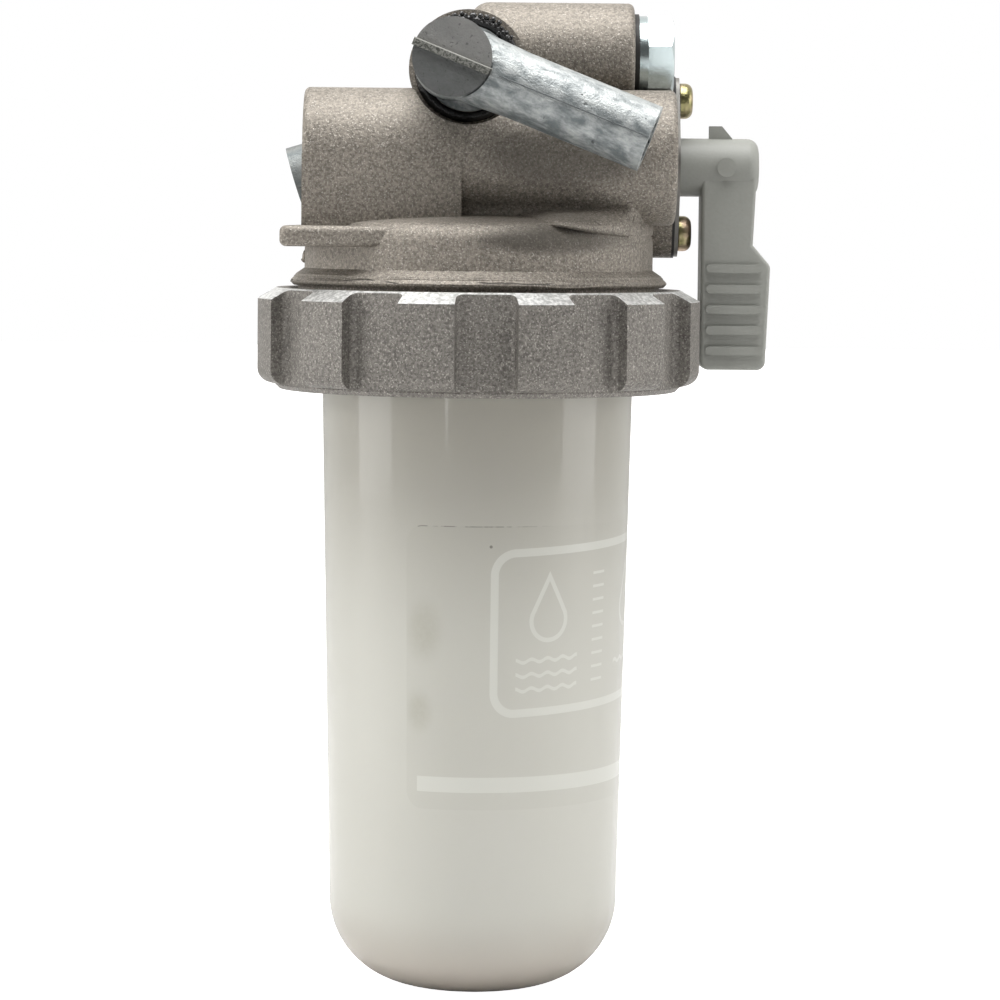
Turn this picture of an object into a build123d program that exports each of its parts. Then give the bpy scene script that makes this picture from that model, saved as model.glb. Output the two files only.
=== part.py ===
# Fuel water separator: die-cast head with two hose elbows and a shut-off cock,
# a milky cup held up by a lugged ring nut, a hanging filter element and a float ring.
# Millimetres. +Z up, +X towards the cock lever, +Y away from the inlet elbow.
# The origin is the centre of the cup's flat foot.

import os
from math import cos, radians, sin

from build123d import *

os.makedirs("parts", exist_ok=True)

# Clearances
turn_gap = 0.3
seat_gap = 0.1
shaft_gap = 0.06
press_gap = 0.05

# Cup
cup_foot_radius = 33.0
cup_top_radius = 35.5
cup_bottom_round = 19.5
cup_wall = 2.4
cup_rim_step = 1.1
cup_flange_thickness = 3.0
cup_rim_height = 3.5

# Ring nut
ring_bottom = 136.0
ring_height = 22.9
ring_wall = 3.9
ring_notch_step = 0.4
ring_lug_height = 3.9
ring_base_height = 1.4
ring_lug_count = 12
ring_lug_phase = 17.0
ring_notch_angle = 15.7
ring_notch_corner = 1.5
ring_bottom_round = 3.4
ring_base_chamfer = 1.0
ring_chamfer_depth = 2.4
ring_chamfer_width = 4.4
ring_lip_thickness = 5.0
ring_lip_gap = 0.8
ring_entry_chamfer = 1.0

# Threaded skirt and gasket of the head
skirt_wall = 4.2
thread_depth = 1.2
gasket_thickness = 2.0
bead_gap = 0.6
bead_reach = 1.6
bead_height = 3.0
bead_edge = 0.6
bead_step = 0.9

# Bell of the head
bell_inset = 1.5
bell_height = 15.1
bell_shoulder_round = 4.6
roof_thickness = 4.0
roof_round = 6.0
spigot_boss_radius = 11.0
spigot_boss_length = 9.0

# Valve housing: a round in front and the cock's round behind, run along X over the bell
housing_left = -39.4
housing_right = 44.0
front_round_radius = 15.2
front_round_y = -9.0
front_round_z = 188.9
housing_web_top = 200.0
housing_edge_round = 1.2
housing_web_round = 2.5
block_right = -4.0
ledge_left = -43.8
ledge_front = -33.4
ledge_bottom = 168.4
ledge_thickness = 4.6
ledge_corner = 2.0
ledge_edge_round = 1.4

# Upper gallery, closed by the hexagon plug
gallery_radius = 12.2
gallery_y = 2.2
gallery_z = 212.0
gallery_left = -2.5
gallery_right = 34.9
gallery_bore = 4.5
gallery_wall = 4.0
gallery_web_width = 16.0
gallery_left_round = 4.5
gallery_right_round = 1.4

# Elbow seats
inlet_seat = (-2.8, -12.0, 208.45)
inlet_slope = 21.8
inlet_lean = 4.8
outlet_seat = (-3.6, 31.0, 196.8)
outlet_slope = 17.0
outlet_lean = 0.0
seat_boss_radius = 13.3
spotface_radius = 12.8
spotface_depth = 14.0
stem_radius = 7.2
stem_length = 9.0
stem_bore = 4.8

# Elbow casting
elbow_collar_radius = 9.6
elbow_collar_height = 1.8
elbow_body_radius = 8.7
elbow_pipe_radius = 8.1
elbow_pipe_bore = 5.2
elbow_pipe_length = 43.0
elbow_pipe_height = 20.0
hose_seat_radius = 7.5
hose_seat_length = 31.0
elbow_pad_offset = 3.7
elbow_pad_rise = 0.4
elbow_rib_width = 1.7
elbow_rib_height = 0.9
elbow_rib_overhang = 0.4
sealant_width = 2.3
sealant_height = 1.5
sealant_hollow = 1.3

# Hexagon plug and its washer
plug_flats = 17.0
plug_head_height = 5.9
plug_flange_radius = 9.4
plug_flange_thickness = 2.0
plug_shank_radius = 5.9
plug_shank_length = 11.0
plug_chamfer = 1.1
plug_corner_drop = 0.8
plug_corner_inset = 1.5
plug_turn = -12.4
plug_washer_thickness = 1.1
plug_washer_radius = 9.8

# Cock
spindle_y = 15.0
spindle_z = 187.2
cock_face = 44.6
housing_back_radius = 14.5
spool_radius = 8.0
spool_length = 38.0
spool_port = 3.5
spool_port_x = 16.0
spool_stem_radius = 4.0
spool_stem_length = 14.0
spool_stem_flat = 2.8
spool_seal_section = 1.1
spool_seal_offsets = (4.0, 33.0)

# Retaining plate, its gasket and screws
plate_thickness = 0.9
plate_gasket_thickness = 0.6
plate_inset = 0.3
plate_screw_span = 30.7
plate_lug_radius = 5.7
plate_core_radius = 12.5
flange_length = 12.0
screw_head_radius = 4.1
screw_head_height = 3.2
screw_head_round = 1.8
screw_head_chamfer = 0.3
screw_shank_radius = 2.2
screw_shank_length = 9.0
screw_slot_width = 1.0
screw_slot_length = 4.6
screw_slot_depth = 1.3

# Lever
lever_shaft_radius = 6.75
lever_end_round = 2.6
handle_gap = 0.8
handle_bottom = 140.4
handle_thickness = 12.0
neck_width = 12.8
neck_foot_width = 12.0
neck_foot_z = 169.3
grip_top_width = 16.1
grip_top_z = 164.5
grip_bottom_width = 15.1
lever_end_reach = 13.3
handle_round = 2.0
handle_edge_round = 0.9
rib_top_z = 163.9
rib_pitch = 4.75
rib_count = 5
rib_start = 1.2
rib_length = 12.6
rib_radius = 1.0
rib_height = 0.8
fin_start = 1.9
fin_width = 5.3
fin_tip_width = 2.9
fin_top = 196.8
fin_thickness = 3.0
mark_offset = 5.6
mark_radius = 2.2
mark_height = 0.3

# Filter element and centre tube
tube_radius = 7.0
tube_wall = 1.5
tube_bottom = 142.0
element_top = 152.0
element_bottom = 78.0
element_radius = 25.0
element_core_radius = 13.0
element_core_wall = 1.0
cap_thickness = 3.0
cap_lip = 2.5
cap_wall = 0.8
pleat_count = 36
pleat_thickness = 0.9
core_window_rows = 4
core_window_columns = 6
core_window_width = 7.0
core_window_height = 9.0
element_seal_section = 1.2

# Float ring
float_outer_radius = 26.0
float_inner_radius = 19.0
float_height = 7.0
float_chamfer = 3.0

# Mounting holes in the left face
mount_hole_radius = 3.4
mount_hole_depth = 20.0
mount_hole_spacing = 28.0
mount_hole_y = 3.0
mount_hole_z = 188.0

# Heights that follow from the stack under the head
ring_top = ring_bottom + ring_height
flange_bottom = ring_bottom + ring_lip_thickness + seat_gap
flange_top = flange_bottom + cup_flange_thickness
gasket_top = flange_top + gasket_thickness
skirt_bottom = gasket_top + seat_gap
bead_bottom = ring_top + bead_gap
bell_top = ring_top + bell_height
roof_bottom = bell_top - roof_thickness
spool_bore = spool_radius + shaft_gap
spool_end = cock_face - seat_gap
seal_ring_radius = spool_radius - spool_seal_section
plate_left = cock_face + plate_gasket_thickness
plate_right = plate_left + plate_thickness

# Radii that follow from the cup's mouth outwards
cup_rim_radius = cup_top_radius + cup_rim_step
skirt_inner = cup_rim_radius + turn_gap + seat_gap
skirt_radius = skirt_inner + skirt_wall
cup_flange_radius = skirt_radius - turn_gap
ring_bore = skirt_radius + thread_depth
lip_bore = cup_top_radius + ring_lip_gap
ring_base_radius = ring_bore + ring_wall
ring_notch_radius = ring_base_radius + ring_notch_step
ring_lug_radius = ring_notch_radius + ring_lug_height
bead_radius = skirt_radius + bead_reach
bell_radius = skirt_radius - bell_inset
handle_left = max(ring_lug_radius, plate_right + screw_head_height) + handle_gap
lever_end = handle_left + lever_end_reach


def side_plane(x):
    """A plane across X at x, with local x along +Y and local y along +Z."""
    return Plane.YZ.offset(x)


def elbow_plane(seat, outward, slope):
    """The seat of an elbow: z leaves the seat, x runs down along the hose pipe."""
    run = Vector(-outward * cos(radians(slope)), 0, -sin(radians(slope)))
    return Plane(origin=seat, x_dir=run, z_dir=(0, outward, 0))


inlet_plane = elbow_plane(inlet_seat, -1, inlet_slope)
outlet_plane = elbow_plane(outlet_seat, 1, outlet_slope)


def make_cup():
    """Blow-moulded cup with a full round at the foot and a clamping flange."""
    inner_foot = cup_foot_radius - cup_wall
    inner_top = cup_top_radius - cup_wall
    foot_flat = cup_foot_radius - cup_bottom_round
    rim_top = flange_top + cup_rim_height
    arc_45 = cos(radians(45))
    outer_mid = (foot_flat + cup_bottom_round * arc_45, cup_bottom_round * (1 - arc_45))
    inner_round = cup_bottom_round - cup_wall
    inner_mid = (foot_flat + inner_round * arc_45, cup_bottom_round - inner_round * arc_45)
    with BuildPart() as cup:
        with BuildSketch(Plane.XZ):
            with BuildLine():
                Line((0, 0), (foot_flat, 0))
                ThreePointArc((foot_flat, 0), outer_mid, (cup_foot_radius, cup_bottom_round))
                Polyline(
                    (cup_foot_radius, cup_bottom_round),
                    (cup_top_radius, flange_bottom),
                    (cup_flange_radius, flange_bottom),
                    (cup_flange_radius, flange_top),
                    (cup_rim_radius, flange_top),
                    (cup_rim_radius, rim_top),
                    (inner_top, rim_top),
                    (inner_foot, cup_bottom_round),
                )
                ThreePointArc((inner_foot, cup_bottom_round), inner_mid, (foot_flat, cup_wall))
                Polyline((foot_flat, cup_wall), (0, cup_wall), (0, 0))
            make_face()
        revolve(axis=Axis.Z)
    return cup


def make_cup_gasket():
    """Flat rubber gasket that lies on the cup's flange, round its rim."""
    with BuildPart() as cup_gasket:
        with BuildSketch(Plane.XY.offset(flange_top)):
            Circle(cup_flange_radius - press_gap)
            Circle(cup_rim_radius + press_gap, mode=Mode.SUBTRACT)
        extrude(amount=gasket_thickness)
    return cup_gasket


def make_ring_nut():
    """Die-cast ring nut: a machined cone across twelve lugs, moulded notches between."""
    lug_foot = ring_bottom + ring_base_height
    round_inner = ring_lug_radius - ring_bottom_round
    round_top = lug_foot + ring_bottom_round
    arc_45 = cos(radians(45)) * ring_bottom_round
    lip_top = ring_bottom + ring_lip_thickness
    half_notch = ring_notch_angle / 2
    reach = ring_lug_radius + ring_lug_height
    edge_x, edge_y = cos(radians(half_notch)), sin(radians(half_notch))
    with BuildPart() as ring_nut:
        with BuildSketch(Plane.XZ):
            with BuildLine():
                Polyline(
                    (lip_bore, ring_bottom),
                    (ring_base_radius - ring_base_chamfer, ring_bottom),
                    (ring_base_radius, ring_bottom + ring_base_chamfer),
                    (ring_base_radius, lug_foot),
                    (round_inner, lug_foot),
                )
                ThreePointArc(
                    (round_inner, lug_foot),
                    (round_inner + arc_45, round_top - arc_45),
                    (ring_lug_radius, round_top),
                )
                Polyline(
                    (ring_lug_radius, round_top),
                    (ring_lug_radius, ring_top - ring_chamfer_depth),
                    (ring_lug_radius - ring_chamfer_width, ring_top),
                    (ring_bore + ring_entry_chamfer, ring_top),
                    (ring_bore, ring_top - ring_entry_chamfer),
                    (ring_bore, lip_top),
                    (lip_bore, lip_top),
                    (lip_bore, ring_bottom),
                )
            make_face()
        revolve(axis=Axis.Z)
        with BuildSketch(Plane.XY.offset(lug_foot)) as notch:
            with BuildLine():
                CenterArc((0, 0), ring_notch_radius, -half_notch, ring_notch_angle)
                Polyline(
                    (ring_notch_radius * edge_x, ring_notch_radius * edge_y),
                    (reach * edge_x, reach * edge_y),
                    (reach * edge_x, -reach * edge_y),
                    (ring_notch_radius * edge_x, -ring_notch_radius * edge_y),
                )
            make_face()
            fillet(notch.vertices().group_by(Axis.X)[0], ring_notch_corner)
        for index in range(ring_lug_count):
            turn = ring_lug_phase + (index + 0.5) * 360 / ring_lug_count
            cut_face = notch.sketch.face().rotate(Axis.Z, turn)
            extrude(cut_face, amount=ring_height, mode=Mode.SUBTRACT)
    return ring_nut


def make_bell():
    """Turned body of the head: threaded skirt, stepped bead, bell wall and flat top."""
    edge_top = bead_bottom + 2 * bead_edge
    bead_top = bead_bottom + bead_height + bead_step
    step_radius = bead_radius - bead_step
    with BuildPart() as bell:
        with BuildSketch(Plane.XZ) as outline:
            with BuildLine():
                Polyline(
                    (0, skirt_bottom),
                    (skirt_radius - ring_entry_chamfer, skirt_bottom),
                    (skirt_radius, skirt_bottom + ring_entry_chamfer),
                    (skirt_radius, bead_bottom),
                    (bead_radius - bead_edge, bead_bottom),
                    (bead_radius, bead_bottom + bead_edge),
                    (bead_radius, edge_top),
                    (step_radius, edge_top + bead_step),
                    (step_radius - bead_step / 4, edge_top + 1.5 * bead_step),
                    (bell_radius, bead_top),
                    (bell_radius, bell_top),
                    (0, bell_top),
                    (0, skirt_bottom),
                )
            make_face()
            shoulder = outline.vertices().sort_by_distance((bell_radius, bell_top, 0))[0]
            fillet(shoulder, bell_shoulder_round)
        revolve(axis=Axis.Z)
    return bell


def housing_section(x):
    """The housing's section at x: two rounds side by side and the web between them."""
    web_bottom = front_round_z - front_round_radius
    with BuildSketch(side_plane(x)) as section:
        with Locations((front_round_y, front_round_z)):
            Circle(front_round_radius)
        with Locations((spindle_y, spindle_z)):
            Circle(housing_back_radius)
        with Locations((front_round_y, web_bottom)):
            Rectangle(
                spindle_y - front_round_y,
                housing_web_top - web_bottom,
                align=(Align.MIN, Align.MIN),
            )
    return section


def plate_outline(x, core, lug):
    """Outline of the cock's flange: a core round and two screw lugs above and below."""
    with BuildSketch(side_plane(x)) as outline:
        with Locations((spindle_y, spindle_z)):
            Circle(core)
            with GridLocations(0, plate_screw_span, 1, 2):
                Circle(lug)
        make_hull()
    return outline


def make_bell_cavity():
    """The room inside the bell, leaving the boss that holds the centre tube."""
    boss_bottom = roof_bottom - spigot_boss_length
    with BuildPart() as room:
        with BuildSketch(Plane.XZ) as cavity:
            with BuildLine():
                Polyline(
                    (spigot_boss_radius, boss_bottom),
                    (spigot_boss_radius, roof_bottom),
                    (skirt_inner, roof_bottom),
                    (skirt_inner, skirt_bottom),
                    (0, skirt_bottom),
                    (0, boss_bottom),
                    (spigot_boss_radius, boss_bottom),
                )
            make_face()
            corner = cavity.vertices().sort_by_distance((skirt_inner, roof_bottom, 0))[0]
            fillet(corner, roof_round)
        revolve(axis=Axis.Z)
    return room


def make_passages():
    """Every drilled or tapped way in the head: fuel ways, chamber, plug and screw holes."""
    boss_bottom = roof_bottom - spigot_boss_length
    gallery_start = side_plane_at(inlet_seat[0], gallery_y, gallery_z)
    gallery_mouth = side_plane_at(gallery_right, gallery_y, gallery_z)
    chamber_mouth = side_plane_at(cock_face, spindle_y, spindle_z)
    port = Vector(0, spindle_y - gallery_y, spindle_z - gallery_z)
    port_plane = Plane(origin=(spool_port_x, gallery_y, gallery_z), z_dir=port)
    port_length = (gallery_z - roof_bottom) / cos(radians(port.get_angle(Vector(0, 0, -1))))
    bores = (
        (inlet_plane, stem_radius + press_gap, -stem_length),
        (inlet_plane, stem_bore, inlet_seat[1] - gallery_y),
        (outlet_plane, stem_radius + press_gap, -stem_length),
        (outlet_plane, stem_bore, -outlet_seat[1]),
        (Plane.XY.offset(boss_bottom), tube_radius + press_gap, spigot_boss_length),
        (Plane.XY.offset(roof_bottom), stem_bore, outlet_seat[2] - roof_bottom),
        (gallery_start, gallery_bore, gallery_right - inlet_seat[0]),
        (gallery_mouth, plug_shank_radius + press_gap, -plug_shank_length - seat_gap),
        (chamber_mouth, spool_bore, -spool_length - 2 * seat_gap),
        (port_plane, spool_port, port_length + spool_port),
    )
    with BuildPart() as passages:
        for plane, radius, length in bores:
            with BuildSketch(plane):
                Circle(radius)
            extrude(amount=length)
        with BuildSketch(side_plane_at(housing_left, mount_hole_y, mount_hole_z)):
            with GridLocations(mount_hole_spacing, 0, 2, 1):
                Circle(mount_hole_radius)
        extrude(amount=mount_hole_depth)
        with BuildSketch(chamber_mouth):
            with GridLocations(0, plate_screw_span, 1, 2):
                Circle(screw_shank_radius + press_gap)
        extrude(amount=-screw_shank_length)
    return passages


def make_gallery():
    """The round gallery along the top and the web that stands it on the housing."""
    with BuildPart() as gallery:
        with BuildSketch(side_plane_at(gallery_left, gallery_y, gallery_z)):
            Circle(gallery_radius)
        extrude(amount=gallery_right - gallery_left)
        fillet(gallery.edges().group_by(Axis.X)[0], gallery_left_round)
        fillet(gallery.edges().group_by(Axis.X)[-1], gallery_right_round)
        with BuildSketch(side_plane_at(gallery_left + gallery_left_round, gallery_y, spindle_z)):
            Rectangle(gallery_web_width, gallery_z - spindle_z, align=(Align.CENTER, Align.MIN))
        extrude(amount=gallery_right - gallery_right_round - gallery_left - gallery_left_round)
    return gallery


def round_ledge(slab):
    """Rounds the long edges of the ledge at its free left end."""
    left_edges = slab.edges().filter_by(Axis.Y).group_by(Axis.X)[0]
    return slab.fillet(ledge_edge_round, left_edges)


def make_housing_web():
    """Hollow web in the groove between the housing's front round and the bell."""
    drop = front_round_z - bell_top - housing_web_round
    reach = front_round_radius + housing_web_round
    foot_y = front_round_y - (reach**2 - drop**2) ** 0.5
    share = front_round_radius / reach
    foot = (foot_y, bell_top)
    middle = (foot_y + housing_web_round, bell_top + housing_web_round)
    head_end = (front_round_y - share * (front_round_y - foot_y), front_round_z - share * drop)
    web_bottom = bell_top - bell_shoulder_round
    with BuildPart() as web:
        with BuildSketch(side_plane(block_right)):
            with BuildLine():
                ThreePointArc(foot, middle, head_end)
                Polyline(
                    head_end,
                    (front_round_y, front_round_z),
                    (front_round_y, web_bottom),
                    (foot_y, web_bottom),
                    foot,
                )
            make_face()
        extrude(amount=bell_radius - block_right)
        with BuildSketch(Plane.XY.offset(web_bottom)):
            Circle(bell_radius - press_gap)
        extrude(amount=front_round_z - web_bottom, mode=Mode.INTERSECT)
    return web


def make_head():
    """The head casting with its bores, seats and threaded holes."""
    housing_back = spindle_y + housing_back_radius
    housing_front = front_round_y - front_round_radius
    flange_x = cock_face - flange_length
    bell = make_bell()
    room = make_bell_cavity()
    passages = make_passages()
    housing = housing_section(housing_left)
    flange = plate_outline(flange_x, plate_core_radius, plate_lug_radius)
    gallery = make_gallery()
    web = make_housing_web()
    inlet_depth = gallery_y + gallery_bore + gallery_wall - inlet_seat[1]
    with BuildPart() as head:
        extrude(housing.sketch, amount=housing_right - housing_left)
        fillet(head.edges().group_by(Axis.X)[0], housing_edge_round)
        fillet(head.edges().group_by(Axis.X)[-1], housing_edge_round)
        add(bell.part)
        with BuildSketch(Plane.XZ.offset(-housing_back)):
            with Locations((housing_left, ledge_bottom)):
                Rectangle(
                    block_right - housing_left,
                    front_round_z - ledge_bottom,
                    align=(Align.MIN, Align.MIN),
                )
        extrude(amount=housing_back - housing_front)
        with BuildSketch(Plane.XY.offset(ledge_bottom)) as ledge:
            with Locations((ledge_left, 0)):
                Rectangle(-ledge_left, -2 * ledge_front, align=(Align.MIN, Align.CENTER))
            fillet(ledge.vertices().group_by(Axis.X)[0], ledge_corner)
        ledge_slab = extrude(amount=ledge_thickness, mode=Mode.PRIVATE)
        add(round_ledge(ledge_slab))
        add(web.part)
        extrude(flange.sketch, amount=flange_length)
        add(gallery.part)
        for plane, depth in ((inlet_plane, inlet_depth), (outlet_plane, outlet_seat[1])):
            with BuildSketch(plane):
                Circle(seat_boss_radius)
            extrude(amount=-depth)
        with BuildSketch(inlet_plane):
            Circle(spotface_radius)
        extrude(amount=spotface_depth, mode=Mode.SUBTRACT)
        add(room.part, mode=Mode.SUBTRACT)
        add(passages.part, mode=Mode.SUBTRACT)
    return head


def side_plane_at(x, y, z):
    """A plane across X whose origin is at (x, y, z)."""
    return Plane(origin=(x, y, z), x_dir=(0, 1, 0), z_dir=(1, 0, 0))


def make_elbow(seat_plane, lean):
    """Die-cast hose elbow: stem, collar, round body with a flat pad, and hose pipe."""
    pad_height = elbow_pipe_height + elbow_pipe_radius + elbow_pad_rise
    with BuildPart(seat_plane) as elbow:
        Cylinder(stem_radius, stem_length, align=(Align.CENTER, Align.CENTER, Align.MAX))
        Cylinder(
            elbow_collar_radius,
            elbow_collar_height,
            align=(Align.CENTER, Align.CENTER, Align.MIN),
        )
        with Locations((-elbow_pad_offset, 0, elbow_collar_height)):
            Cylinder(
                elbow_body_radius,
                pad_height - elbow_collar_height,
                align=(Align.CENTER, Align.CENTER, Align.MIN),
            )
        with Locations((0, 0, elbow_pipe_height)):
            Cone(
                elbow_pipe_radius,
                hose_seat_radius,
                elbow_pipe_length - hose_seat_length,
                rotation=(0, 90 - lean, 0),
                align=(Align.CENTER, Align.CENTER, Align.MIN),
            )
            Cylinder(
                hose_seat_radius,
                elbow_pipe_length,
                rotation=(0, 90 - lean, 0),
                align=(Align.CENTER, Align.CENTER, Align.MIN),
            )
        with Locations((-elbow_pad_offset, 0, pad_height)):
            Box(
                2 * (elbow_body_radius + elbow_rib_overhang),
                elbow_rib_width,
                2 * elbow_rib_height,
            )
        with Locations((0, 0, elbow_pipe_height)):
            Cylinder(
                elbow_pipe_bore,
                elbow_pipe_length,
                rotation=(0, 90 - lean, 0),
                align=(Align.CENTER, Align.CENTER, Align.MIN),
                mode=Mode.SUBTRACT,
            )
            Cylinder(
                stem_bore,
                stem_length + elbow_pipe_height,
                align=(Align.CENTER, Align.CENTER, Align.MAX),
                mode=Mode.SUBTRACT,
            )
    return elbow


def make_sealant(seat_plane):
    """Bead of sealing compound squeezed out round the elbow's collar."""
    inner = elbow_collar_radius + press_gap
    outer = inner + sealant_width
    with BuildPart() as sealant:
        section_plane = Plane(origin=seat_plane.origin, x_dir=seat_plane.x_dir, z_dir=-seat_plane.y_dir)
        with BuildSketch(section_plane):
            with BuildLine():
                Line((outer, 0), (inner, 0))
                Line((inner, 0), (inner, sealant_height))
                RadiusArc((inner, sealant_height), (outer, 0), sealant_hollow * sealant_width)
            make_face()
        revolve(axis=Axis(seat_plane.origin, seat_plane.z_dir))
    return sealant


def make_plug():
    """Flanged hexagon plug that closes the gallery."""
    seat = side_plane_at(gallery_right + plug_washer_thickness, gallery_y, gallery_z)
    head_plane = seat.offset(plug_flange_thickness)
    corner_radius = plug_flats / 2 / cos(radians(30))
    with BuildPart() as turned_head:
        with BuildSketch(head_plane):
            Circle(corner_radius)
        extrude(amount=plug_head_height)
        chamfer(turned_head.edges().group_by(Axis.X)[-1], plug_corner_drop, plug_corner_inset)
    with BuildPart() as shank:
        with BuildSketch(seat):
            Circle(plug_shank_radius)
        extrude(amount=-plug_shank_length - plug_washer_thickness)
        chamfer(shank.edges().group_by(Axis.X)[0], plug_chamfer)
    with BuildPart() as plug:
        with BuildSketch(head_plane):
            RegularPolygon(plug_flats / 2, 6, major_radius=False, rotation=plug_turn)
        extrude(amount=plug_head_height)
        add(turned_head.part, mode=Mode.INTERSECT)
        with BuildSketch(seat):
            Circle(plug_flange_radius)
        extrude(amount=plug_flange_thickness)
        add(shank.part)
    return plug


def make_plug_washer():
    """Sealing washer under the plug's flange."""
    with BuildPart() as washer:
        with BuildSketch(side_plane_at(gallery_right, gallery_y, gallery_z)):
            Circle(plug_washer_radius)
            Circle(plug_shank_radius + press_gap, mode=Mode.SUBTRACT)
        extrude(amount=plug_washer_thickness)
    return washer


def make_cover_layer(x, thickness, inset):
    """One layer over the cock's chamber: the gasket or the plate above it."""
    with BuildPart() as layer:
        outline = plate_outline(x, plate_core_radius - inset, plate_lug_radius - inset)
        extrude(outline.sketch, amount=thickness)
        with BuildSketch(side_plane_at(x, spindle_y, spindle_z)):
            Circle(lever_shaft_radius + turn_gap)
            with GridLocations(0, plate_screw_span, 1, 2):
                Circle(screw_shank_radius + press_gap)
        extrude(amount=thickness, mode=Mode.SUBTRACT)
    return layer


def make_plate_screws():
    """Two pan-head screws with a cross recess, one above and one below the spindle."""
    under_head = side_plane_at(plate_right, spindle_y, spindle_z)
    shank = screw_shank_length + plate_right - cock_face - seat_gap
    with BuildPart() as screws:
        with BuildSketch(under_head):
            with GridLocations(0, plate_screw_span, 1, 2):
                Circle(screw_head_radius)
        extrude(amount=screw_head_height)
        fillet(screws.edges().group_by(Axis.X)[-1], screw_head_round)
        chamfer(screws.edges().group_by(Axis.X)[0], screw_head_chamfer)
        with BuildSketch(under_head):
            with GridLocations(0, plate_screw_span, 1, 2):
                Circle(screw_shank_radius)
        extrude(amount=-shank)
        with BuildSketch(under_head.offset(screw_head_height)):
            with GridLocations(0, plate_screw_span, 1, 2):
                Rectangle(screw_slot_length, screw_slot_width)
                Rectangle(screw_slot_width, screw_slot_length)
        extrude(amount=-screw_slot_depth, mode=Mode.SUBTRACT)
    return screws


def make_spool():
    """Rotary spool of the cock: grooves for two seals, one cross port and a flatted stem."""
    left = spool_end - spool_length
    groove_radius = seal_ring_radius - spool_seal_section - press_gap
    groove_width = 2 * spool_seal_section + 4 * press_gap
    port_plane = Plane(
        origin=(spool_port_x, spindle_y, spindle_z),
        z_dir=(0, spindle_y - gallery_y, spindle_z - gallery_z),
    )
    with BuildPart() as spool:
        with BuildSketch(side_plane_at(left, spindle_y, spindle_z)):
            Circle(spool_radius)
        extrude(amount=spool_length)
        for offset_x in spool_seal_offsets:
            with BuildSketch(side_plane_at(left + offset_x - groove_width / 2, spindle_y, spindle_z)):
                Circle(spool_bore)
                Circle(groove_radius, mode=Mode.SUBTRACT)
            extrude(amount=groove_width, mode=Mode.SUBTRACT)
        with BuildSketch(port_plane):
            Circle(spool_port)
        extrude(amount=spool_bore, both=True, mode=Mode.SUBTRACT)
        with BuildSketch(side_plane_at(spool_end, spindle_y, spindle_z)) as stem:
            Circle(spool_stem_radius)
            with Locations((0, spool_stem_flat)):
                Rectangle(
                    2 * spool_stem_radius,
                    spool_stem_radius,
                    align=(Align.CENTER, Align.MIN),
                    mode=Mode.SUBTRACT,
                )
        extrude(amount=spool_stem_length)
    return spool


def make_spool_seals():
    """The spool's two rubber rings, drawn at their fitted size."""
    left = spool_end - spool_length
    with BuildPart() as seals:
        for offset_x in spool_seal_offsets:
            with BuildSketch(Plane.XZ.offset(-spindle_y)):
                with Locations((left + offset_x, spindle_z + seal_ring_radius)):
                    Circle(spool_seal_section)
            revolve(axis=Axis((0, spindle_y, spindle_z), (1, 0, 0)))
    return seals


def make_lever():
    """Moulded lever: round shaft, flat handle that steps out to a ribbed grip, pointer fin."""
    rib_x = handle_left + rib_start + rib_length / 2
    fin_left = handle_left + fin_start
    fin_right = fin_left + fin_width
    rib_bottom_z = rib_top_z - (rib_count - 1) * rib_pitch
    with BuildPart() as handle:
        with BuildSketch(Plane.XZ.offset(-spindle_y)) as outline:
            with BuildLine():
                Polyline(
                    (handle_left, spindle_z),
                    (handle_left, handle_bottom),
                    (handle_left + grip_bottom_width, handle_bottom),
                    (handle_left + grip_top_width, grip_top_z),
                    (handle_left + neck_foot_width, neck_foot_z),
                    (handle_left + neck_width, spindle_z),
                    (handle_left, spindle_z),
                )
            make_face()
            fillet(outline.vertices().group_by(Axis.Y)[0], handle_round)
            grip_edge = outline.vertices().sort_by(Axis.X)[-1]
            fillet(grip_edge, handle_round)
        extrude(amount=handle_thickness / 2, both=True)
        flat_faces = handle.faces().filter_by(Axis.Y)
        fillet(flat_faces.edges(), handle_edge_round)
    with BuildPart() as lever:
        with BuildSketch(side_plane_at(spool_end, spindle_y, spindle_z)):
            Circle(lever_shaft_radius)
        extrude(amount=lever_end - spool_end)
        fillet(lever.edges().group_by(Axis.X)[-1], lever_end_round)
        add(handle.part)
        with BuildSketch(Plane.XZ.offset(-spindle_y)):
            with BuildLine():
                Polyline(
                    (fin_left, spindle_z),
                    (fin_right, spindle_z),
                    (fin_right, spindle_z + lever_shaft_radius),
                    (fin_left + fin_tip_width, fin_top),
                    (fin_left, fin_top),
                    (fin_left, spindle_z),
                )
            make_face()
        extrude(amount=fin_thickness / 2, both=True)
        for side in (-1, 1):
            with BuildSketch(Plane.XZ.offset(-spindle_y - side * handle_thickness / 2)):
                with Locations((rib_x, (rib_top_z + rib_bottom_z) / 2)):
                    with GridLocations(0, rib_pitch, 1, rib_count):
                        SlotOverall(rib_length, 2 * rib_radius)
            extrude(amount=-side * rib_height)
        with BuildSketch(Plane.XZ.offset(-spindle_y + lever_shaft_radius + mark_height)):
            with Locations((handle_left + mark_offset, spindle_z)):
                Circle(mark_radius)
        extrude(amount=-lever_shaft_radius)
        with BuildSketch(side_plane_at(spool_end, spindle_y, spindle_z)):
            Circle(spool_stem_radius + press_gap)
            with Locations((0, spool_stem_flat + press_gap)):
                Rectangle(
                    2 * lever_shaft_radius,
                    spool_stem_radius,
                    align=(Align.CENTER, Align.MIN),
                    mode=Mode.SUBTRACT,
                )
        extrude(amount=spool_stem_length + seat_gap, mode=Mode.SUBTRACT)
    return lever


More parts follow.
